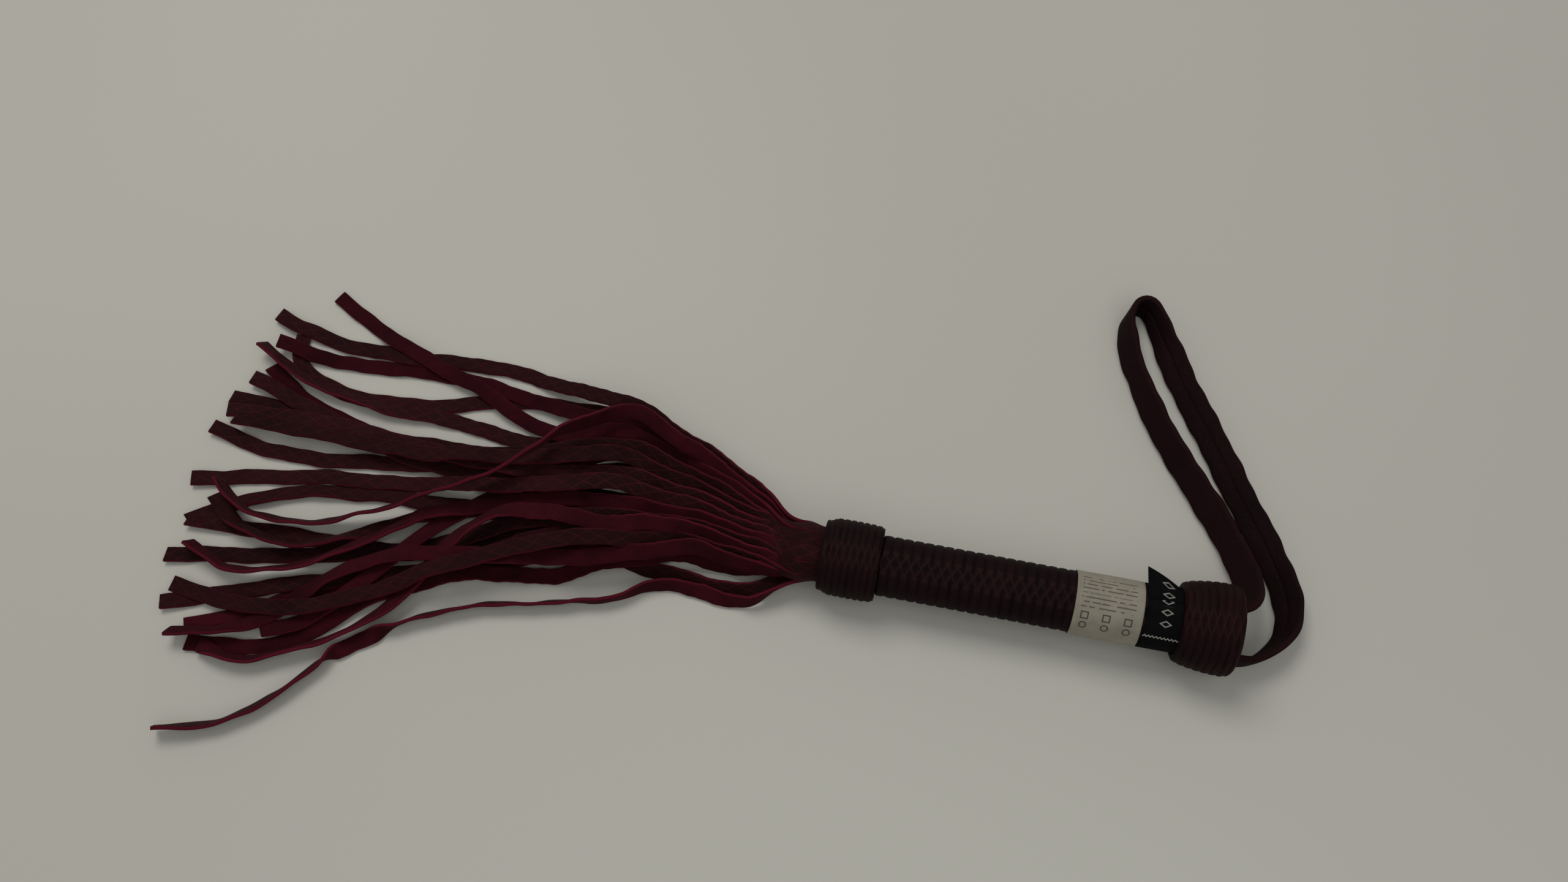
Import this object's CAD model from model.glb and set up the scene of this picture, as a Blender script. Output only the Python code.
import math

import bpy
import numpy as np
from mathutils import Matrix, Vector


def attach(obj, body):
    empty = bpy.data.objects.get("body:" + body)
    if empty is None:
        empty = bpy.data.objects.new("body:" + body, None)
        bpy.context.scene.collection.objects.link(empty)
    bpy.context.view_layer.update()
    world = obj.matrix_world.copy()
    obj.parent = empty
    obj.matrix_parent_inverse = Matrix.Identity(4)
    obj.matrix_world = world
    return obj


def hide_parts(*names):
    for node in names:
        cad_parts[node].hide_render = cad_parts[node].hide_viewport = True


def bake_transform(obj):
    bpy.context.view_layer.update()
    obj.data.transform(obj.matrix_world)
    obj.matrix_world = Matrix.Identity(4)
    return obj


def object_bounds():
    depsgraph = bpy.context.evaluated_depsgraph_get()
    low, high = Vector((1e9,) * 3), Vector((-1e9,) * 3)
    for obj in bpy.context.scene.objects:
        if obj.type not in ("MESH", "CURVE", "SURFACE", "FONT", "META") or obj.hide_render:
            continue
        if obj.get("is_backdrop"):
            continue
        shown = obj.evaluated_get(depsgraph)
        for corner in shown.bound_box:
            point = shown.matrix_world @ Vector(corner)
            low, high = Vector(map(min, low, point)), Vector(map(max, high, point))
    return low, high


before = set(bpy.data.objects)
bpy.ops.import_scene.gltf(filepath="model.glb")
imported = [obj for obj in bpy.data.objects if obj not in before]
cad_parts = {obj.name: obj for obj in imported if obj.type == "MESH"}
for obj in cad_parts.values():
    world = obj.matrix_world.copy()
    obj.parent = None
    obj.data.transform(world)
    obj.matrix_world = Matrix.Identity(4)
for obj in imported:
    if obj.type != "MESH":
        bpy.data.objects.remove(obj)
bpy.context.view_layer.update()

MM = 0.001
scene = bpy.context.scene

# ---------------------------------------------------------------- camera
dip = math.radians(63.7)
heading = Vector((-0.2044, 0.9789, 0)).normalized()
camera_data = bpy.data.cameras.new("camera")
camera_data.lens = 29.95
camera_data.sensor_width = 36
camera = bpy.data.objects.new("camera", camera_data)
camera.location = (-0.0553, -0.1824, 0.484)
camera.rotation_mode = "QUATERNION"
camera_way = heading * math.cos(dip) + Vector((0, 0, -math.sin(dip)))
camera.rotation_quaternion = camera_way.to_track_quat("-Z", "Y")
scene.collection.objects.link(camera)
scene.camera = camera
scene.view_settings.view_transform = "Standard"

# ---------------------------------------------------------------- routes, in metres, as in the part
TAIL_START = -0.103
ROUTES = [
    [-1, [[-.103, -.016], [-.115, -.017], [-.130, -.016], [-.147, -.015], [-.162, -.011],
          [-.178, -.006], [-.205, -.004], [-.235, -.005], [-.265, -.007], [-.295, -.013],
          [-.318, -.024], [-.330, -.033]]],
    [10, [[-.200, -.023], [-.238, -.038], [-.273, -.052], [-.292, -.064], [-.314, -.074]]],
    [8, [[-.195, -.009], [-.215, -.019], [-.235, -.027], [-.262, -.029], [-.290, -.030],
         [-.330, -.032]]],
    [8, [[-.200, -.010], [-.232, -.024], [-.262, -.033], [-.287, -.039], [-.310, -.043],
         [-.333, -.048]]],
    [4, [[-.195, .018], [-.225, .014], [-.247, .016], [-.267, .019], [-.290, .024],
         [-.308, .031], [-.324, .041]]],
    [6, [[-.195, .009], [-.225, .011], [-.245, .010], [-.267, .007], [-.290, .004],
         [-.312, .004], [-.337, .009]]],
    [0, [[-.190, .048], [-.219, .046], [-.242, .039], [-.265, .035], [-.288, .035],
         [-.305, .040], [-.314, .048], [-.316, .058]]],
    [7, [[-.195, .001], [-.225, -.007], [-.248, -.017], [-.265, -.028], [-.283, -.035],
         [-.299, -.034], [-.312, -.029], [-.322, -.021]]],
    [11, [[-.179, -.025], [-.198, -.029], [-.216, -.032], [-.247, -.049], [-.270, -.070],
          [-.288, -.077], [-.311, -.080]]],
    [-1, [[-.103, -.021], [-.112, -.022], [-.124, -.020], [-.134, -.020], [-.143, -.023],
          [-.155, -.030], [-.171, -.035], [-.212, -.046], [-.242, -.063], [-.255, -.075],
          [-.270, -.094], [-.279, -.102], [-.291, -.109], [-.308, -.114]]],
    [2, [[-.190, .030], [-.215, .029], [-.240, .032], [-.262, .031], [-.286, .033],
         [-.308, .038], [-.330, .049]]],
    [1, [[-.195, .045], [-.220, .049], [-.244, .052], [-.270, .051], [-.297, .049],
         [-.324, .052]]],
    [9, [[-.200, -.020], [-.230, -.034], [-.258, -.043], [-.292, -.054], [-.327, -.067]]],
    [3, [[-.187, .020], [-.210, .004], [-.232, -.018], [-.250, -.042], [-.262, -.056],
         [-.272, -.065], [-.284, -.070]]],
    [9, [[-.188, -.006], [-.206, -.009], [-.222, -.024], [-.237, -.050], [-.254, -.066],
         [-.270, -.076], [-.289, -.083], [-.305, -.080]]],
    [3, [[-.200, .022], [-.240, .019], [-.270, .019], [-.302, .023], [-.335, .024]]],
    [11, [[-.190, -.024], [-.215, -.028], [-.238, -.032], [-.261, -.042], [-.279, -.060],
          [-.292, -.071], [-.308, -.076], [-.318, -.078]]],
    [5, [[-.195, .012], [-.220, .009], [-.242, .010], [-.265, .014], [-.298, .024],
         [-.329, .034]]],
    [5, [[-.195, .012], [-.230, .014], [-.260, .017], [-.290, .019], [-.333, .017]]],
    [4, [[-.200, .016], [-.225, .014], [-.246, .012], [-.285, .013], [-.327, .013]]],
    [0, [[-.190, .053], [-.210, .058], [-.233, .060], [-.261, .057], [-.282, .057],
         [-.300, .058], [-.320, .062], [-.330, .066]]],
    [7, [[-.195, .001], [-.215, -.005], [-.237, -.014], [-.266, -.036], [-.289, -.047],
         [-.306, -.049], [-.325, -.042]]],
    [6, [[-.195, .005], [-.233, .002], [-.260, -.001], [-.287, -.004], [-.312, -.009],
         [-.336, -.015]]],
    [10, [[-.180, -.017], [-.200, -.025], [-.225, -.037], [-.250, -.050], [-.275, -.060],
          [-.300, -.062], [-.325, -.059]]],
    [2, [[-.193, .033], [-.212, .038], [-.234, .048], [-.258, .056], [-.284, .067],
         [-.308, .080]]],
    [1, [[-.185, .030], [-.199, .015], [-.213, .004], [-.239, -.008], [-.262, -.018],
         [-.284, -.025], [-.303, -.026], [-.315, -.021], [-.322, -.015]]],
]
LOOP_ROUTE = [
    [.0740, .0085, .0180, 82], [.0805, .0090, .0180, 80], [.0832, .0115, .0172, 74],
    [.0844, .0160, .0148, 64], [.0842, .0220, .0116, 56], [.0824, .0290, .0088, 49],
    [.0790, .0370, .0068, 46], [.0730, .0480, .0058, 46], [.0650, .0595, .0058, 48],
    [.0570, .0705, .0060, 52], [.0495, .0815, .0062, 56], [.0430, .0925, .0063, 60],
    [.0368, .1050, .0064, 63], [.0320, .1160, .0064, 66], [.0290, .1280, .0065, 70],
    [.0288, .1360, .0065, 77], [.0320, .1425, .0066, 90], [.0375, .1425, .0066, 108],
    [.0425, .1340, .0060, 128], [.0480, .1225, .0052, 142], [.0553, .1080, .0046, 150],
    [.0630, .0950, .0042, 154], [.0720, .0790, .0041, 155], [.0810, .0620, .0042, 154],
    [.0900, .0460, .0045, 150], [.0970, .0320, .0050, 144], [.1010, .0200, .0056, 134],
    [.1005, .0090, .0062, 122], [.0960, .0010, .0066, 110], [.0880, -.0060, .0075, 100],
    [.0802, -.0080, .0090, 95], [.0740, -.0075, .0100, 93],
]
# Place of each tail in the rolled sheet at the mouth: radius, and angle from the far side over the top
MOUTH = {
    21: (.0113, 16), 25: (.0113, 49), 20: (.0113, 82), 23: (.0113, 114), 4: (.0113, 147),
    24: (.0113, 180), 10: (.0113, 213), 1: (.0113, 245), 3: (.0113, 278), 5: (.0113, 311),
    12: (.0113, 343), 26: (.0098, -5), 16: (.0098, 35), 19: (.0098, 75), 22: (.0098, 115),
    15: (.0098, 155), 17: (.0098, 195), 2: (.0098, 235), 6: (.0098, 275), 11: (.0098, 315),
    7: (.0083, 350), 14: (.0083, 305), 18: (.0083, 260), 8: (.0083, 215), 13: (.0083, 170),
    9: (.0083, 125),
}
# Tails that turn onto an edge: pairs of distance from the throat and lean in degrees
TWIST = {
    1: [(150, 0), (185, -20), (230, -10)],
    2: [(150, 0), (190, -45), (230, -40)],
    5: [(150, 0), (175, -40), (230, -60)],
    7: [(150, 0), (185, -50), (240, -60)],
    8: [(120, 0), (155, -50), (200, -60), (240, -45)],
    9: [(140, 0), (170, -45), (230, -60)],
    10: [(40, 80), (75, 112), (150, 118), (200, 125), (240, 112)],
    11: [(150, 0), (185, -40), (235, -50)],
    14: [(120, 0), (150, -20), (190, -10)],
    15: [(90, 0), (115, -50), (150, -40), (190, -60), (230, -55)],
    17: [(120, 0), (160, -25), (200, -40), (225, -50)],
    22: [(110, 0), (150, -40), (190, -55), (230, -60)],
    26: [(60, 30), (80, 60), (110, 112), (150, 118), (200, 125), (235, 115)],
}
# Tails that lie with the rough side up
ROUGH_UP = {2, 5, 9, 10, 12, 14, 15, 17, 22, 25, 26}
HALF_WIDTH = .00315
HALF_THICKNESS = .0007
MOUTH_Z = .0149


def smooth_curve(points, steps):
    """A smooth curve through the points, the same one as the part's."""
    p = np.array(points, float)
    out = []
    for i in range(len(p) - 1):
        a, b, c, d = p[max(i - 1, 0)], p[i], p[i + 1], p[min(i + 2, len(p) - 1)]
        for k in range(steps):
            t = k / steps
            square = 2 * a - 5 * b + 4 * c - d
            cube = 3 * b - a - 3 * c + d
            out.append((2 * b + (c - a) * t + square * t * t + cube * t ** 3) / 2)
    out.append(p[-1])
    return np.array(out)


def distances(p, dims):
    steps = np.linalg.norm(np.diff(p[:, :dims], axis=0), axis=1)
    return np.concatenate([[0], np.cumsum(steps)])


def spaced(p, count, dims):
    """Evenly spaced points along a polyline, measured over its first dims coordinates."""
    s = distances(p, dims)
    at = np.linspace(0, s[-1], count)
    return np.stack([np.interp(at, s, p[:, k]) for k in range(p.shape[1])], axis=1), at


def ease(value, low, high):
    t = np.clip((np.asarray(value, float) - low) / (high - low), 0, 1)
    return t * t * (3 - 2 * t)


def softened(values, reach):
    """Values averaged with their neighbours along a run, with the ends kept."""
    values = np.asarray(values, float)
    if reach < 1:
        return values
    kernel = np.hanning(2 * reach + 3)[1:-1]
    kernel /= kernel.sum()
    padded = np.pad(values, reach, mode="edge")
    return np.convolve(padded, kernel, mode="valid")


def throat(column):
    near, middle, far = .020 - .0026 * column, .035 - .0039 * column, .048 - .0061 * column
    return [[TAIL_START, near], [-.115, near * .52 + middle * .48], [-.130, middle],
            [-.147, (middle + far) / 2], [-.165, far]]


def plan_route(k):
    column, points = ROUTES[k]
    return points if column < 0 else throat(column) + points


def cad_heights(node, centres):
    """Height of the middle of a CAD tail at each of its own rings."""
    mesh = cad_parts[node].data
    co = np.zeros(len(mesh.vertices) * 3)
    mesh.vertices.foreach_get("co", co)
    co = co.reshape(-1, 3)
    found = []
    for i, c in enumerate(centres):
        run = centres[min(i + 1, len(centres) - 1)] - centres[max(i - 1, 0)]
        run = run / np.linalg.norm(run)
        d = co[:, :2] - c
        along = np.abs(d @ run)
        across = np.abs(d @ np.array([run[1], -run[0]]))
        near = (along < .0003) & (across < .0036)
        z = co[near, 2]
        found.append((z.min() + z.max()) / 2 if len(z) else np.nan)
    found = np.array(found)
    known = ~np.isnan(found)
    return np.interp(np.arange(len(found)), np.flatnonzero(known), found[known])


def mesh_object(name, points, faces, uv=None, **attributes):
    mesh = bpy.data.meshes.new(name)
    mesh.from_pydata([tuple(p) for p in points], [], faces)
    mesh.update()
    if uv is not None:
        layer = mesh.uv_layers.new(name="flat")
        corner = np.zeros(len(mesh.loops), np.int32)
        mesh.loops.foreach_get("vertex_index", corner)
        layer.data.foreach_set("uv", np.asarray(uv, np.float32)[corner].ravel())
    for key, values in attributes.items():
        layer = mesh.attributes.new(key, "FLOAT", "POINT")
        layer.data.foreach_set("value", np.asarray(values, np.float32).ravel())
    mesh.shade_smooth()
    obj = bpy.data.objects.new(name, mesh)
    scene.collection.objects.link(obj)
    return obj


def ring_faces(rings, around, first_cap=True, last_cap=True):
    """Quads between rings of points, with a fan of triangles to a middle point at each end."""
    faces = []
    for i in range(rings - 1):
        for k in range(around):
            n = (k + 1) % around
            faces.append((i * around + k, i * around + n, (i + 1) * around + n, (i + 1) * around + k))
    middle = rings * around
    if first_cap:
        faces += [(middle, (k + 1) % around, k) for k in range(around)]
        middle += 1
    if last_cap:
        base = (rings - 1) * around
        faces += [(middle, base + k, base + (k + 1) % around) for k in range(around)]
    return faces


def strip_section(half_width, half_thickness, bevel, columns):
    """Points round a flat strip: across, through, which face it is on, and how near the cut edge."""
    flat = np.linspace(-1, 1, columns)
    inner = half_width - bevel
    edge = half_thickness - bevel * .8
    rows = [(u * inner, half_thickness, 1, .55 if abs(u) > .99 else 0) for u in flat]
    rows += [(half_width, edge, .5, 1), (half_width, -edge, .5, 1)]
    rows += [(-u * inner, -half_thickness, 0, .55 if abs(u) > .99 else 0) for u in flat]
    rows += [(-half_width, -edge, .5, 1), (-half_width, edge, .5, 1)]
    return np.array(rows)


def swept_strip(name, centres, lean, width_scale, cup, section, slant=0):
    """A strip along centres, leaning by lean radians and bowed by cup, in one bow per metre."""
    run = np.gradient(centres, axis=0)
    run /= np.linalg.norm(run, axis=1)[:, None]
    side = np.stack([run[:, 1], -run[:, 0], np.zeros(len(run))], axis=1)
    side /= np.linalg.norm(side, axis=1)[:, None]
    up = np.cross(side, run)
    c, s = np.cos(lean)[:, None], np.sin(lean)[:, None]
    across = c * side + s * up
    through = c * up - s * side
    u = section[:, 0][None, :] * width_scale[:, None]
    v = section[:, 1][None, :]
    bow = cup[:, None]
    x = u * (1 + bow * v) - bow ** 2 * u ** 3 / 6
    y = v - bow * u ** 2 / 2
    points = centres[:, None, :] + x[..., None] * across[:, None, :] + y[..., None] * through[:, None, :]
    s_at = distances(centres, 3)
    if slant:
        near_tip = ease(s_at, s_at[-1] - .004, s_at[-1])
        points += (near_tip[:, None] * u * slant)[..., None] * run[:, None, :]
    count, around = points.shape[:2]
    along = np.repeat(s_at[:, None], around, axis=1)
    uv = np.stack([along * 100, np.broadcast_to(u, along.shape) * 100], axis=-1).reshape(-1, 2)
    face = np.broadcast_to(section[:, 2], (count, around)).reshape(-1)
    rim = np.broadcast_to(section[:, 3], (count, around)).reshape(-1)
    ends = [points[0].mean(0), points[-1].mean(0)]
    flat = np.concatenate([points.reshape(-1, 3), ends])
    uv = np.concatenate([uv, [[0, 0], [s_at[-1] * 100, 0]]])
    face = np.concatenate([face, [.5, .5]])
    rim = np.concatenate([rim, [1, 1]])
    faces = ring_faces(count, around)
    return mesh_object(name, flat, faces, uv, face=face, rim=rim)


# ---------------------------------------------------------------- tails
rng = np.random.default_rng(7)
THROAT_LEAN = [(0, 56), (25, 47), (45, 36), (62, 24), (80, 10), (97, 0), (400, 0)]
ROOT_X = -.0735
tails = []
for k in range(len(ROUTES)):
    number = k + 1
    node = f"tail_{number:02d}"
    rings, ring_at = spaced(smooth_curve(plan_route(k), 6), 32, 2)
    heights = cad_heights(node, rings)
    fine, at = spaced(smooth_curve(plan_route(k), 16), int(ring_at[-1] / .0015), 2)
    z = softened(np.interp(at / at[-1], ring_at / ring_at[-1], heights), 3)
    lean = np.interp(at * 1000, [a for a, b in THROAT_LEAN], [b for a, b in THROAT_LEAN])
    base = np.interp(at * 1000, [0, 50, 75, 95, 400], [88, 86, 30, 0, 0])
    tall = abs(np.sin(np.radians(base))) * HALF_WIDTH + abs(np.cos(np.radians(base))) * HALF_THICKNESS
    tails.append({"number": number, "node": node, "xy": fine, "at": at, "z": z, "lean": lean,
                  "low": z - tall, "tall": tall})


def half_height(lean):
    a = np.radians(lean)
    return np.abs(np.sin(a)) * HALF_WIDTH + np.abs(np.cos(a)) * HALF_THICKNESS


def headroom(tail):
    """Clear height over a tail's underside, up to the tails that lie across it."""
    room = np.full(len(tail["xy"]), 1.0)
    for other in tails:
        if other is tail:
            continue
        d = np.linalg.norm(tail["xy"][:, None, :] - other["xy"][None, :, :], axis=2)
        over = (d < .0052) & (other["z"][None, :] > tail["z"][:, None])
        gap = np.where(over, other["low"][None, :] - tail["low"][:, None], 1.0)
        room = np.minimum(room, gap.min(axis=1))
    return room


for tail in tails:
    number = tail["number"]
    if number not in TWIST:
        continue
    pairs = TWIST[number]
    wished = np.interp(tail["at"] * 1000, [a for a, b in pairs], [b for a, b in pairs])
    share = ease(tail["at"] * 1000, pairs[0][0] - 20, pairs[0][0] + 5)
    wished = tail["lean"] * (1 - share) + wished * share
    room = headroom(tail)
    free = np.where(tail["at"] > .095, room, 1.0)
    sine = np.clip((free / 2 - HALF_THICKNESS) / HALF_WIDTH, 0, 1)
    limit = np.degrees(np.arcsin(sine))
    limit = np.array([limit[max(i - 3, 0):i + 4].min() for i in range(len(limit))])
    limit = np.where(limit > 89, 180, limit)
    tail["lean"] = softened(np.sign(wished) * np.minimum(np.abs(wished), limit), 5)

section = strip_section(HALF_WIDTH, HALF_THICKNESS, .0003, 7)
tail_objects = []
for tail in tails:
    number = tail["number"]
    radius, angle = MOUTH[number]
    column = ROUTES[number - 1][0]
    turn = math.radians(angle)
    lean_a, lean_b = angle - 90, angle + 90
    options = [(lean_a + 360 * n, 1) for n in (-1, 0, 1)] + [(lean_b + 360 * n, -1) for n in (-1, 0, 1)]
    mouth_lean, outward = min(options, key=lambda o: abs(o[0] - 50))
    root_x = np.linspace(ROOT_X, TAIL_START, 20)[:-1]
    start = tail["xy"][0]
    slope = (tail["xy"][3] - start) / (tail["xy"][3] - start)[0]
    root_xy = np.stack([root_x, start[1] + (root_x - start[0]) * slope[1]], axis=1)
    xy = np.concatenate([root_xy, tail["xy"]])
    z = np.concatenate([np.full(len(root_x), tail["z"][0]), tail["z"]])
    lean = np.concatenate([np.full(len(root_x), tail["lean"][0]), tail["lean"]])
    inside = xy[:, 0] > -.135
    share_y = np.where(inside, 1 - ease(-xy[:, 0], .083, .104), 0)
    share_z = np.where(inside, 1 - ease(-xy[:, 0], .080, .116), 0)
    share_lean = np.where(inside, 1 - ease(-xy[:, 0], .086, .112), 0)
    bundle = radius * (1 - .12 * (1 - ease(-xy[:, 0], .0790, .0860)))
    y = bundle * math.cos(turn) * share_y + xy[:, 1] * (1 - share_y)
    lift = half_height(lean)
    base_tall = np.concatenate([np.full(len(root_x), tail["tall"][0]), tail["tall"]])
    z = z - base_tall + np.where(np.abs(lean) > 1, lift, base_tall)
    z = (MOUTH_Z + bundle * math.sin(turn)) * share_z + z * (1 - share_z)
    lean = mouth_lean * share_lean + lean * (1 - share_lean)
    centres = np.stack([xy[:, 0], y, z], axis=1)
    at = distances(centres, 3)
    total = at[-1]
    phase = rng.uniform(0, 6.28, 4)
    grown = ease(at, .012, .045)
    waves = rng.uniform(.012, .04) * (1 - .7 * ease(at, .12, .22))
    ripple = np.sin(at / .0056 * 6.283 + phase[0]) * waves + np.sin(at / .019 * 6.283 + phase[1]) * .02
    width = .985 + grown * ripple
    sway = np.sin(at / .0125 * 6.283 + phase[2]) * .00012 + np.sin(at / .031 * 6.283 + phase[3]) * .0003
    centres[:, 1] += grown * sway * ease(total - at, 0, .02)
    lean = lean + grown * 5 * np.sin(at / .024 * 6.283 + phase[1])
    curl = rng.uniform(0, .0022)
    centres[:, 2] += curl * ease(at, total - .022, total)
    cup = outward / radius * share_lean + grown * rng.uniform(-30, 30)
    low = half_height(lean) + .0004
    centres[:, 2] = np.maximum(centres[:, 2], low)
    obj = swept_strip(f"suede_tail_{number:02d}", centres, np.radians(lean), width, cup, section,
                      slant=rng.uniform(-.25, .25))
    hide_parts(tail["node"])
    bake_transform(obj)
    tail_objects.append(obj)
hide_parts("tail_gather")

# ---------------------------------------------------------------- wrist loop
loop_points, loop_at = spaced(smooth_curve(LOOP_ROUTE, 12), 260, 3)
loop_centres = loop_points[:, :3].copy()
loop_length = distances(loop_centres, 3)[-1]
wobble = ease(loop_at, 0, .03) * ease(loop_length - loop_at, 0, .03)
loop_lean = loop_points[:, 3] + wobble * 3 * np.sin(loop_at / .037 * 6.283)
loop_width = .98 + wobble * (.03 * np.sin(loop_at / .0115 * 6.283) + .03 * np.sin(loop_at / .027 * 6.283 + 1))
loop_centres[:, 2] += wobble * .0002 * np.sin(loop_at / .017 * 6.283)


def strap_section(half_width, half_thickness):
    """A strap folded to its middle from both sides, with the two edges meeting in a groove."""
    rows = []
    for u in np.linspace(-1, 1, 15):
        crown = half_thickness * (1 - .10 * u * u)
        rows.append((u * (half_width - .0009), crown, 1, abs(u) ** 4 * .6))
    for turn in (55, 15, -15, -55):
        a = math.radians(turn)
        rows.append((half_width - .0009 + .0009 * math.cos(a), half_thickness * .9 * math.sin(a), .5, 1))
    for u in np.linspace(1, -1, 19):
        groove = math.exp(-(u / .06) ** 2) * .0006
        bulge = .10 * (abs(abs(u) - .5) * 2) ** 2
        rows.append((u * (half_width - .0009), -half_thickness * (1 - bulge) + groove, 0,
                     math.exp(-(u / .12) ** 2) * .3))
    for turn in (-55, -15, 15, 55):
        a = math.radians(turn)
        rows.append((-half_width + .0009 - .0009 * math.cos(a), half_thickness * .9 * math.sin(a), .5, 1))
    return np.array(rows)


loop = swept_strip("strap_loop", loop_centres, np.radians(loop_lean), loop_width,
                   np.zeros(len(loop_at)), strap_section(.00615, .00145))
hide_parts("wrist_loop")
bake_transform(loop)

# ---------------------------------------------------------------- handle
TILT = math.atan(2.4 / 141)
AXIS_START = np.array([-.078239, 0, .014879])
AXIS = np.array([math.cos(TILT), 0, math.sin(TILT)])
TOP = np.array([-math.sin(TILT), 0, math.cos(TILT)])
NEAR = np.array([0, -1.0, 0])


SEAM = math.radians(15)


def on_axis(along, radius, theta):
    """A point on the handle: distance from the mouth, radius, and angle from the top towards the near side."""
    along, radius, theta = np.broadcast_arrays(along, radius, theta)
    return (AXIS_START + along[..., None] * AXIS
            + (radius * np.cos(theta))[..., None] * TOP + (radius * np.sin(theta))[..., None] * NEAR)


def resampled(profile, spacing):
    """A profile of [along, radius] points with extra points between them, keeping its corners."""
    out = []
    for a, b in zip(profile[:-1], profile[1:]):
        a, b = np.array(a, float), np.array(b, float)
        count = max(1, int(round(np.linalg.norm(b - a) / spacing)))
        out += [a + (b - a) * i / count for i in range(count)]
    out.append(np.array(profile[-1], float))
    return np.array(out)


def strand(phase, power):
    """Height over a row of laces, from 0 between two of them to 1 on a crown."""
    x = np.abs(2 * (phase - np.floor(phase)) - 1)
    return np.sqrt(np.clip(1 - x ** power, 0, 1))


def laced(arc, theta, radius, pitch, seam, half, tilt=0.0):
    """Height of hooped lacing whose strands cross each other in a band along the handle."""
    t = np.mod(theta - seam + math.pi, 2 * math.pi) - math.pi
    reach = t * radius / half
    inside = np.clip(1 - np.abs(reach), 0, 1)
    base = arc / pitch + tilt * theta / (2 * math.pi)
    hoops = strand(base + .5, 3.2)
    over = strand(base + .5 * reach, 1.1)
    under = strand(base - .5 * reach, 1.1) * .97
    crossing = np.maximum(over, under)
    share = ease(inside, 0, .12)
    return hoops * (1 - share) + crossing * share


def seam_band(theta, radius, seam, half):
    """1 in the band where the laces cross, 0 round the rest of the handle."""
    t = np.mod(theta - seam + math.pi, 2 * math.pi) - math.pi
    return ease(1 - np.abs(t * radius / half), 0, .25)


def revolved(name, profile, around, relief, depth, closed):
    """A turned piece whose surface sinks by depth where relief is 0. Closed joins the profile's ends."""
    theta = np.linspace(0, 2 * math.pi, around, endpoint=False)
    step = np.linalg.norm(np.diff(profile, axis=0), axis=1)
    arc = np.concatenate([[0], np.cumsum(step)])
    way = np.gradient(profile, axis=0)
    way /= np.maximum(np.linalg.norm(way, axis=1), 1e-9)[:, None]
    normal = np.stack([-way[:, 1], way[:, 0]], axis=1)
    sunk = depth(arc, profile)[:, None] * (1 - relief(arc[:, None], theta[None, :], profile[:, 1:2]))
    along = profile[:, 0:1] - normal[:, 0:1] * sunk
    radius = np.maximum(profile[:, 1:2] - normal[:, 1:2] * sunk, 0)
    height = relief(arc[:, None], theta[None, :], profile[:, 1:2])
    height = np.where(depth(arc, profile)[:, None] > 0, height, .5)
    points = on_axis(along, radius, theta[None, :])
    count = len(profile)
    u = np.repeat(arc[:, None], around, axis=1) * 100
    v = theta[None, :] * np.maximum(profile[:, 1:2], .004) * 100
    uv = np.stack([u, np.broadcast_to(v, u.shape)], axis=-1).reshape(-1, 2)
    ridge = np.broadcast_to(height, u.shape).reshape(-1)
    band = np.broadcast_to(seam_band(theta[None, :], profile[:, 1:2], SEAM, .0055), u.shape).reshape(-1)
    if closed:
        faces = ring_faces(count, around, False, False)
        last = (count - 1) * around
        faces += [(last + k, last + (k + 1) % around, (k + 1) % around, k) for k in range(around)]
        return mesh_object(name, points.reshape(-1, 3), faces, uv,
                           ridge=ridge, seam=band)
    ends = [points[0].mean(0), points[-1].mean(0)]
    uv = np.concatenate([uv, [uv[0], uv[-1]]])
    ridge = np.concatenate([ridge, [.5, .5]])
    faces = ring_faces(count, around)
    band = np.concatenate([band, [0, 0]])
    return mesh_object(name, np.concatenate([points.reshape(-1, 3), ends]), faces, uv,
                       ridge=ridge, seam=band)


grip_profile = resampled([[.0222, .0097], [.0222, .01165], [.1385, .01165], [.1385, .0097]], .0004)
grip_profile = grip_profile[:-1] if False else grip_profile


def grip_relief(arc, theta, radius):
    pull = .10 * np.sin(arc / .023 * 6.283 + np.sin(theta)) + .06 * np.sin(theta * 3 + arc * 400)
    return laced(arc + pull * .001, theta, .0117, .0039, SEAM, .0036)


def outer_depth(low, high, amount):
    def depth(arc, profile):
        return np.where((profile[:, 1] > low) & (arc > 0), amount, 0) * high
    return depth


grip = revolved("plaited_grip", grip_profile, 200, grip_relief, outer_depth(.0110, 1, .00075), True)
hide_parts("grip_plait")
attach(grip, "handle")

collar_profile = resampled([
    [.0143, .01345], [.0133, .0125], [0, .0125], [-.0002, .0132], [.0006, .0138], [.0020, .0138],
    [.0026, .0143], [.0036, .0148], [.0060, .01495], [.0120, .01503], [.0180, .0149], [.0210, .0146],
    [.0220, .0141], [.0221, .0130], [.0220, .01185], [.0208, .01345]], .00035)


def collar_relief(arc, theta, radius):
    pull = .12 * np.sin(theta * 2 + arc * 300)
    return laced(arc + pull * .001, theta, .0150, .0026, math.radians(14), .0062)


front = revolved("front_collar_lacing", collar_profile, 220, collar_relief, outer_depth(.0136, 1, .0008), True)
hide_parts("front_collar")
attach(front, "handle")

rear_profile = resampled([
    [.1482, .0002], [.1482, .0125], [.1345, .0125], [.1345, .0140], [.1352, .0148], [.1368, .0156],
    [.1400, .0163], [.1440, .0169], [.1480, .0173], [.1525, .0174], [.1548, .0170], [.1560, .0160],
    [.1565, .0145], [.1566, .0100], [.1568, .0050], [.1568, .0002]], .00038)


def rear_relief(arc, theta, radius):
    pull = .12 * np.sin(theta * 2 - arc * 250) + .1 * np.sin(theta * 5)
    return laced(arc + pull * .001, theta, .0170, .0029, math.radians(14), .0062)


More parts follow.
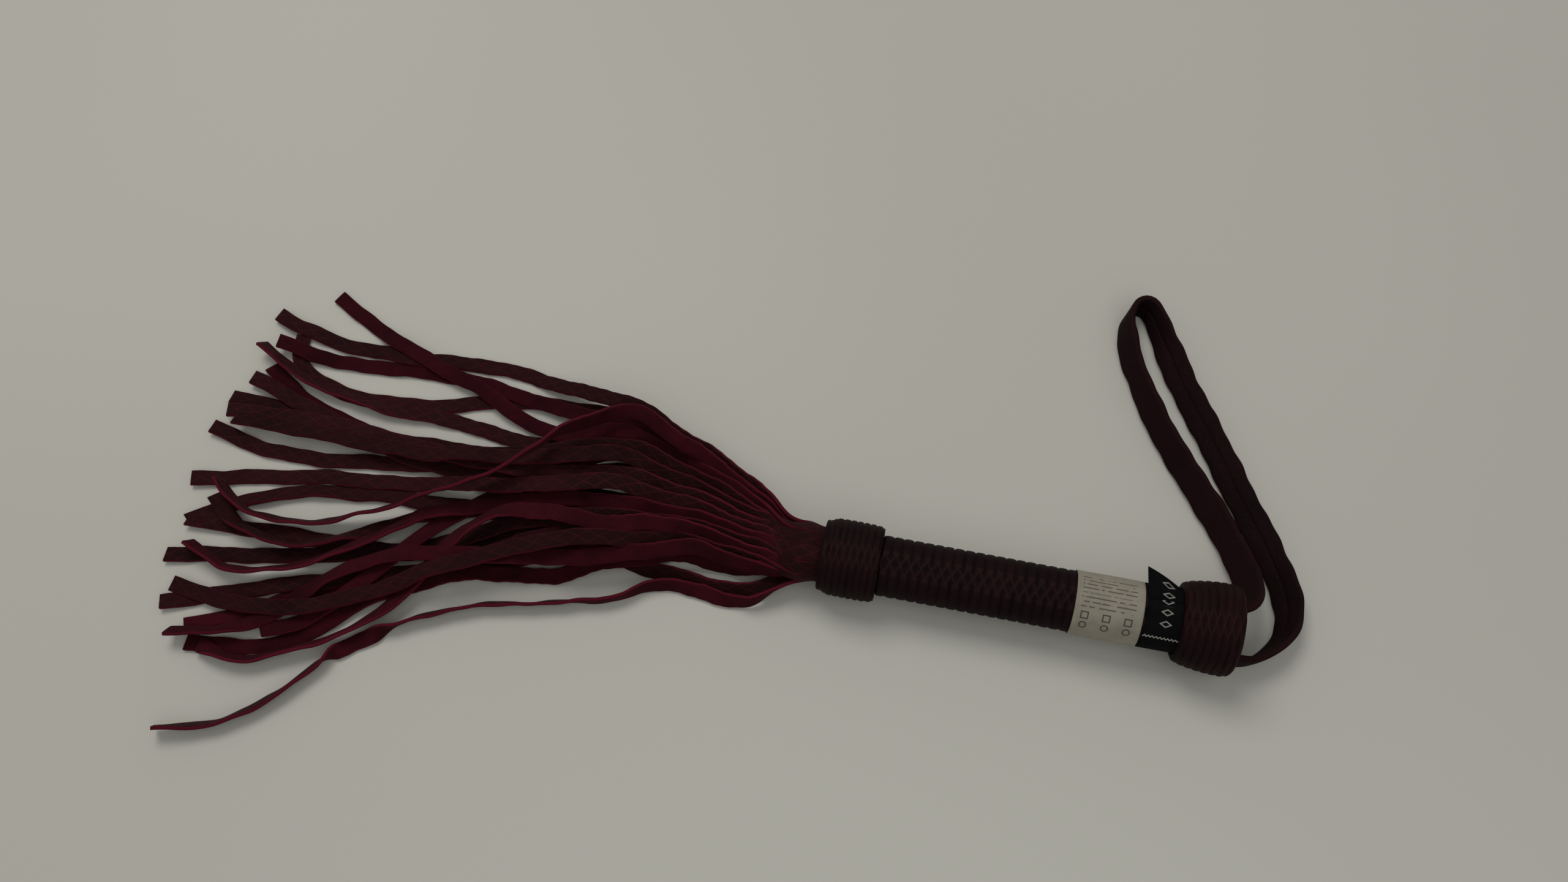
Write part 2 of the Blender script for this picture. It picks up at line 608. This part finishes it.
def rear_depth(arc, profile):
    outside = (profile[:, 1] > .0136) | (profile[:, 0] > .1560)
    return np.where(outside, .0009, 0) * ease(profile[:, 1], .001, .005)


rear = revolved("rear_collar_lacing", rear_profile, 240, rear_relief, rear_depth, False)
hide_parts("rear_collar")
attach(rear, "handle")


def tape_band(name, start, end, radius, thickness, hem, hem_step, wave):
    """A band of tape round the grip whose end laps over its beginning at the hem."""
    profile = resampled([[start, radius], [start, radius + thickness], [end, radius + thickness],
                         [end, radius]], .0006)[:-1]
    profile = np.concatenate([profile, resampled([[end, radius], [start, radius]], .0006)[:-1]])
    around = 240
    theta = np.linspace(0, 2 * math.pi, around, endpoint=False)
    past = np.mod(theta - hem, 2 * math.pi)
    lap = hem_step * (1 - ease(past, 0, .05)) * ease(past, -.1, .001) + hem_step * ease(past, 5.2, 6.27)
    ripple = wave * np.sin(theta * 5 + 1) * np.sin(profile[:, 0:1] * 260 + theta * 2)
    outside = profile[:, 1:2] > radius + thickness * .5
    r = profile[:, 1:2] + np.where(outside, lap[None, :] + ripple, 0)
    points = on_axis(profile[:, 0:1], r, theta[None, :])
    count = len(profile)
    u = np.repeat((profile[:, 0:1] - start), around, axis=1) * 100
    v = np.broadcast_to(theta[None, :] * radius * 100, u.shape)
    uv = np.stack([u, v], axis=-1).reshape(-1, 2)
    faces = ring_faces(count, around, False, False)
    last = (count - 1) * around
    faces += [(last + k, last + (k + 1) % around, (k + 1) % around, k) for k in range(around)]
    return mesh_object(name, points.reshape(-1, 3), faces, uv)


care = tape_band("care_label_band", .0955, .1205, .01178, .00035, math.radians(104), .0003, .00006)
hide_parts("care_label")
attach(care, "handle")

woven = tape_band("woven_label_band", .1215, .1380, .01178, .00035, math.radians(80), .00025, .00006)
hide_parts("woven_label")
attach(woven, "handle")

# The loose corner of the woven label stands off the far side of the grip
leave = math.radians(-12)
flap_u = np.linspace(0, 1, 14)
flap_v = np.linspace(0, 1, 12)
flap_top = []
for u in flap_u:
    along = .1216 + .0130 * u
    length = .0128 - .0050 * u
    for v in flap_v:
        run = length * v
        base = on_axis(np.array(along - .0010 * v * (1 - u)), np.array(.0123), np.array(leave))
        away = math.sin(leave) * TOP - math.cos(leave) * NEAR
        rise = (math.cos(leave) * TOP + math.sin(leave) * NEAR) * (.0012 * v * v * (1 - u) - .0032 * v * u * u)
        flap_top.append(base + away * run + rise)
flap_top = np.array(flap_top)
flap_below = flap_top - np.array([0, 0, .00035])
rows, columns = len(flap_u), len(flap_v)
flap_faces = []
for i in range(rows - 1):
    for k in range(columns - 1):
        a, b = i * columns + k, i * columns + k + 1
        c, d = (i + 1) * columns + k + 1, (i + 1) * columns + k
        flap_faces.append((a, b, c, d))
        shift = rows * columns
        flap_faces.append((shift + d, shift + c, shift + b, shift + a))
border = [i * columns for i in range(rows)]
border += [(rows - 1) * columns + k for k in range(1, columns)]
border += [i * columns + columns - 1 for i in range(rows - 2, -1, -1)]
border += [k for k in range(columns - 2, 0, -1)]
for a, b in zip(border, border[1:] + border[:1]):
    flap_faces.append((a, b, b + rows * columns, a + rows * columns))
grid = np.array([(u * 1.25, v * .9) for u in flap_u for v in flap_v])
flap = mesh_object("woven_label_corner", np.concatenate([flap_top, flap_below]), flap_faces,
                   np.concatenate([grid, grid]))
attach(flap, "handle")


# ---------------------------------------------------------------- materials
class Shader:
    """A material under construction, with short names for the nodes it is made of."""

    def __init__(self, name):
        self.material = bpy.data.materials.new(name)
        self.material.use_nodes = True
        self.tree = self.material.node_tree
        self.surface = self.tree.nodes["Principled BSDF"]
        self.uv = None

    def node(self, kind, **settings):
        n = self.tree.nodes.new(kind)
        for key, value in settings.items():
            setattr(n, key, value)
        return n

    def link(self, source, target):
        self.tree.links.new(source, target)

    def put(self, value, socket):
        if isinstance(value, bpy.types.NodeSocket):
            self.link(value, socket)
        else:
            socket.default_value = value

    def math(self, operation, a, b=0.0, c=None):
        n = self.node("ShaderNodeMath", operation=operation)
        self.put(a, n.inputs[0])
        self.put(b, n.inputs[1])
        if c is not None:
            self.put(c, n.inputs[2])
        return n.outputs[0]

    def attribute(self, name):
        return self.node("ShaderNodeAttribute", attribute_name=name).outputs["Fac"]

    def place(self):
        return self.node("ShaderNodeTexCoord").outputs["Object"]

    def flat(self):
        """Across and along the piece's own surface, in centimetres."""
        if self.uv is None:
            source = self.node("ShaderNodeUVMap", uv_map="flat").outputs["UV"]
            split = self.node("ShaderNodeSeparateXYZ")
            self.link(source, split.inputs[0])
            self.uv = (split.outputs[0], split.outputs[1], source)
        return self.uv

    def noise(self, vector, scale, detail=4.0, rough=.6):
        n = self.node("ShaderNodeTexNoise")
        self.link(vector, n.inputs["Vector"])
        n.inputs["Scale"].default_value = scale
        n.inputs["Detail"].default_value = detail
        n.inputs["Roughness"].default_value = rough
        return n.outputs["Fac"]

    def cells(self, vector, scale):
        n = self.node("ShaderNodeTexVoronoi", feature="DISTANCE_TO_EDGE")
        self.link(vector, n.inputs["Vector"])
        n.inputs["Scale"].default_value = scale
        return n.outputs["Distance"]

    def span(self, value, low, high, to_low=0.0, to_high=1.0):
        n = self.node("ShaderNodeMapRange", interpolation_type="SMOOTHSTEP")
        self.put(value, n.inputs["Value"])
        for key, number in (("From Min", low), ("From Max", high), ("To Min", to_low), ("To Max", to_high)):
            n.inputs[key].default_value = number
        return n.outputs["Result"]

    def mix(self, share, a, b, blend="MIX"):
        n = self.node("ShaderNodeMix", data_type="RGBA", blend_type=blend)
        self.put(share, n.inputs[0])
        self.put(a, n.inputs[6])
        self.put(b, n.inputs[7])
        return n.outputs[2]

    def bump(self, height, distance, strength=1.0, under=None):
        n = self.node("ShaderNodeBump")
        self.link(height, n.inputs["Height"])
        n.inputs["Distance"].default_value = distance
        n.inputs["Strength"].default_value = strength
        if under is not None:
            self.link(under, n.inputs["Normal"])
        return n.outputs["Normal"]

    def line(self, value, period, width):
        """1 on thin lines that repeat each period of value, 0 between them."""
        n = self.math("PINGPONG", self.math("DIVIDE", value, period), .5)
        return self.span(n, 0, width / period, 1, 0)

    def finish(self, colour, roughness, normal, specular=.5, sheen=0.0, sheen_tint=(1, 1, 1, 1)):
        s = self.surface.inputs
        self.put(colour, s["Base Color"])
        self.put(roughness, s["Roughness"])
        if normal is not None:
            self.link(normal, s["Normal"])
        s["Specular IOR Level"].default_value = specular
        s["Sheen Weight"].default_value = sheen
        s["Sheen Roughness"].default_value = .5
        s["Sheen Tint"].default_value = sheen_tint
        return self.material


def rgb(r, g, b):
    """A colour from the 0 to 255 scale that screens use."""
    def channel(v):
        v = v / 255
        return v / 12.92 if v <= .04045 else ((v + .055) / 1.055) ** 2.4
    return (channel(r), channel(g), channel(b), 1)


def suede(name, rough_up, shade):
    """Split suede: a pressed lattice on the smooth side, nap on the other, raw red edges."""
    m = Shader(name)
    along, across, flat = m.flat()
    place = m.place()
    face = m.attribute("face")
    if rough_up:
        face = m.math("SUBTRACT", 1.0, face)
    rim = m.attribute("rim")
    drift = m.noise(place, 38, 3)
    blotch = m.noise(place, 140, 4)
    nap = m.noise(place, 2600, 3, .7)
    slope = m.math("MULTIPLY", across, 1.85)
    one = m.line(m.math("ADD", along, slope), .85, .09)
    two = m.line(m.math("SUBTRACT", along, slope), .85, .09)
    lattice = m.math("MAXIMUM", one, two)
    smooth_side = m.span(face, .55, .8)
    smooth_colour = m.mix(m.span(drift, .3, .7), rgb(25, 10, 9), rgb(38, 13, 14))
    smooth_colour = m.mix(m.math("MULTIPLY", lattice, .6), smooth_colour, rgb(62, 22, 27))
    rough_colour = m.mix(m.span(drift, .3, .7), rgb(40, 8, 14), rgb(55, 12, 21))
    colour = m.mix(smooth_side, rough_colour, smooth_colour)
    colour = m.mix(m.span(blotch, .35, .75, 0, .5), colour, rgb(20, 5, 8))
    colour = m.mix(m.span(rim, .5, .95, 0, .9), colour, rgb(80, 18, 31))
    colour = m.mix(m.span(nap, .35, .75, 0, .2), colour, rgb(84, 27, 38))
    colour = m.mix(1.0, colour, (shade, shade, shade, 1), "MULTIPLY")
    height = m.math("ADD", m.math("MULTIPLY", nap, .5), m.math("MULTIPLY", m.noise(place, 700, 4), .5))
    normal = m.bump(height, .0003, .55)
    pressed = m.math("MULTIPLY", lattice, smooth_side)
    normal = m.bump(pressed, .00025, .5, normal)
    roughness = m.span(smooth_side, 0, 1, .95, .72)
    return m.finish(colour, roughness, normal, .06, .05, (.8, .25, .35, 1))


def lace_leather(name, dark, light, grain):
    """Matt leather lace: dark between the strands, rubbed paler on their crowns."""
    m = Shader(name)
    place = m.place()
    ridge = m.attribute("ridge")
    drift = m.noise(place, 60, 4)
    fine = m.noise(place, grain, 4, .65)
    pores = m.cells(place, grain * .8)
    colour = m.mix(m.span(drift, .3, .7), dark, light)
    worn = m.math("MULTIPLY", m.span(ridge, .75, 1.0), m.span(fine, .35, .7))
    colour = m.mix(m.math("MULTIPLY", worn, .35), colour, rgb(46, 24, 25))
    crossing = m.math("MULTIPLY", m.attribute("seam"), m.span(ridge, .82, .98))
    colour = m.mix(m.math("MULTIPLY", crossing, .28), colour, rgb(54, 29, 31))
    colour = m.mix(m.span(ridge, .0, .6, .8, 0), colour, rgb(4, 2, 2))
    height = m.math("ADD", fine, m.span(pores, 0, .12, 0, .5))
    normal = m.bump(height, .00018, .5)
    roughness = m.span(fine, .3, .7, .5, .72)
    return m.finish(colour, roughness, normal, .06)


def strap_material():
    """Folded strap: matt leather with lengthwise creases and a stitched middle seam."""
    m = Shader("strap leather")
    along, across, flat = m.flat()
    place = m.place()
    face = m.attribute("face")
    rim = m.attribute("rim")
    drift = m.noise(place, 45, 4)
    fine = m.noise(place, 900, 5, .65)
    stretch = m.node("ShaderNodeMapping")
    stretch.inputs["Scale"].default_value = (.35, 5, 1)
    m.link(flat, stretch.inputs["Vector"])
    crease = m.noise(stretch.outputs[0], 3, 5)
    colour = m.mix(m.span(drift, .3, .7), rgb(20, 9, 11), rgb(30, 11, 14))
    colour = m.mix(m.span(face, .5, .9, 0, .6), colour, rgb(33, 13, 17))
    colour = m.mix(m.span(crease, .45, .7, 0, .5), colour, rgb(13, 6, 8))
    colour = m.mix(m.span(rim, .4, 1, 0, .3), colour, rgb(46, 20, 23))
    height = m.math("ADD", m.math("MULTIPLY", fine, .4), crease)
    normal = m.bump(height, .0004, .5)
    return m.finish(colour, m.span(fine, .3, .7, .62, .85), normal, .06)


def satin_tape():
    """White printed care tape: fine ribbed satin with plain grey bars in place of print."""
    m = Shader("white satin tape")
    along, across, flat = m.flat()
    place = m.place()
    rib = m.line(across, .028, .012)
    thread = m.line(along, .035, .012)
    soft = m.noise(place, 120, 4)
    colour = m.mix(m.span(soft, .3, .7), rgb(132, 126, 112), rgb(148, 142, 127))
    colour = m.mix(m.math("MULTIPLY", rib, .18), colour, rgb(108, 102, 90))
    wrapped = m.math("WRAP", across, 3.7, -3.7)
    row = m.line(wrapped, .17, .042)
    inside = m.math("MULTIPLY", m.span(along, .2, .22), m.span(along, 2.2, 2.22, 1, 0))
    block = m.math("MULTIPLY", m.span(wrapped, -.78, -.76), m.span(wrapped, .56, .58, 1, 0))
    gaps = m.span(m.noise(flat, 5, 1), .42, .45)
    bars = m.math("MULTIPLY", m.math("MULTIPLY", row, inside), m.math("MULTIPLY", block, gaps))
    third = m.math("ABSOLUTE", m.math("SUBTRACT", m.math("FRACT", m.math("DIVIDE", along, .8)), .5))
    wide = m.math("MULTIPLY", third, .8)
    for middle, corner in ((.84, 1.0), (1.24, 2.0)):
        tall = m.math("ABSOLUTE", m.math("SUBTRACT", wrapped, middle))
        square = m.math("MAXIMUM", wide, tall)
        round_one = m.math("SQRT", m.math("ADD", m.math("MULTIPLY", wide, wide), m.math("MULTIPLY", tall, tall)))
        reach = square if corner == 1.0 else round_one
        mark = m.math("MULTIPLY", m.span(reach, .095, .105), m.span(reach, .145, .155, 1, 0))
        bars = m.math("MAXIMUM", bars, mark)
    colour = m.mix(m.math("MULTIPLY", bars, .85), colour, rgb(30, 28, 27))
    height = m.math("ADD", m.math("MULTIPLY", rib, -.6), m.math("MULTIPLY", thread, -.4))
    normal = m.bump(height, .00008, .5)
    return m.finish(colour, .5, normal, .35, .05)


def woven_tape():
    """Black woven tape with a fine twill and one pale stitched line."""
    m = Shader("black woven tape")
    along, across, flat = m.flat()
    place = m.place()
    twill = m.line(m.math("ADD", along, across), .05, .02)
    warp = m.line(along, .04, .014)
    soft = m.noise(place, 180, 4)
    colour = m.mix(m.span(soft, .3, .7), rgb(5, 5, 7), rgb(10, 10, 12))
    colour = m.mix(m.math("MULTIPLY", twill, .3), colour, rgb(26, 26, 27))
    wrapped = m.math("WRAP", across, 3.7, -3.7)
    zigzag = m.math("PINGPONG", along, .07)
    stitch = m.math("ABSOLUTE", m.math("SUBTRACT", m.math("ADD", wrapped, zigzag), 1.22))
    colour = m.mix(m.span(stitch, .02, .035, .8, 0), colour, rgb(170, 166, 158))
    tall = m.math("ABSOLUTE", m.math("SUBTRACT", m.math("FRACT", m.math("DIVIDE", wrapped, .42)), .5))
    wide = m.math("ABSOLUTE", m.math("SUBTRACT", along, .72))
    reach = m.math("ADD", m.math("MULTIPLY", tall, .42), m.math("MULTIPLY", wide, .55))
    lozenge = m.math("MULTIPLY", m.span(reach, .075, .085), m.span(reach, .125, .135, 1, 0))
    ends = m.math("MULTIPLY", m.span(wrapped, -.86, -.85), m.span(wrapped, .83, .84, 1, 0))
    lozenge = m.math("MULTIPLY", lozenge, ends)
    colour = m.mix(m.math("MULTIPLY", lozenge, .8), colour, rgb(150, 147, 140))
    height = m.math("ADD", m.math("MULTIPLY", twill, .7), m.math("MULTIPLY", warp, .3))
    normal = m.bump(height, .00012, .6)
    return m.finish(colour, .85, normal, .06)


def wood_material():
    m = Shader("core wood")
    place = m.place()
    stretch = m.node("ShaderNodeMapping")
    stretch.inputs["Scale"].default_value = (8, 220, 220)
    m.link(place, stretch.inputs["Vector"])
    grain = m.noise(stretch.outputs[0], 3, 5)
    colour = m.mix(m.span(grain, .3, .7), rgb(150, 112, 72), rgb(186, 148, 102))
    return m.finish(colour, .6, m.bump(grain, .0002, .4), .4)


def thread_material():
    m = Shader("binding thread")
    place = m.place()
    twist = m.noise(place, 900, 3)
    colour = m.mix(m.span(twist, .3, .7), rgb(42, 40, 40), rgb(70, 66, 64))
    return m.finish(colour, .7, m.bump(twist, .0002, .6), .3)


def coat(obj, material):
    obj.data.materials.clear()
    obj.data.materials.append(material)


suedes = {}
for obj in tail_objects:
    number = int(obj.name[-2:])
    shade = (.86, .95, 1.05, 1.16)[number % 4]
    key = (number in ROUGH_UP, shade)
    if key not in suedes:
        side = "rough" if key[0] else "smooth"
        suedes[key] = suede(f"wine suede {side} {number % 4}", key[0], shade)
    coat(obj, suedes[key])
coat(loop, strap_material())
coat(grip, lace_leather("grip lace", rgb(15, 6, 8), rgb(25, 8, 12), 1500))
collar_coat = lace_leather("collar lace", rgb(19, 8, 9), rgb(31, 10, 14), 1300)
coat(front, collar_coat)
coat(rear, collar_coat)
coat(care, satin_tape())
tape = woven_tape()
coat(woven, tape)
coat(flap, tape)
coat(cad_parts["handle_core"], wood_material())
coat(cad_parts["tail_root_roll"], suede("wine suede roll", False, 1.0))
coat(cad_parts["root_binding"], thread_material())

# ---------------------------------------------------------------- floor and light
bpy.ops.mesh.primitive_plane_add(size=6, location=(0, 0, 0))
floor = bpy.context.object
floor.name = "floor"
m = Shader("pale paper")
place = m.place()
tone = m.noise(place, 1.2, 2)
speck = m.noise(place, 900, 3)
paper = m.mix(m.span(tone, .3, .7), rgb(190, 188, 180), rgb(198, 197, 189))
coat(floor, m.finish(paper, .9, m.bump(speck, .0002, .12), .2))
floor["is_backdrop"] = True

world = bpy.data.worlds.new("studio")
world.use_nodes = True
world.node_tree.nodes["Background"].inputs["Color"].default_value = (1, .99, .96, 1)
world.node_tree.nodes["Background"].inputs["Strength"].default_value = .30
scene.world = world


def area_light(name, place, target, size, power, colour):
    data = bpy.data.lights.new(name, "AREA")
    data.shape = "DISK"
    data.size = size
    data.energy = power
    data.color = colour
    lamp = bpy.data.objects.new(name, data)
    lamp.location = place
    lamp.rotation_mode = "QUATERNION"
    lamp.rotation_quaternion = (Vector(target) - Vector(place)).to_track_quat("-Z", "Y")
    scene.collection.objects.link(lamp)


area_light("key", (-.5, .5, 1.25), (-.05, .02, 0), .75, 6.6, (1, .985, .94))
area_light("fill", (.35, -.6, 1.2), (-.05, .02, 0), 1.4, 3.6, (.97, .985, 1))

low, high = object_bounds()
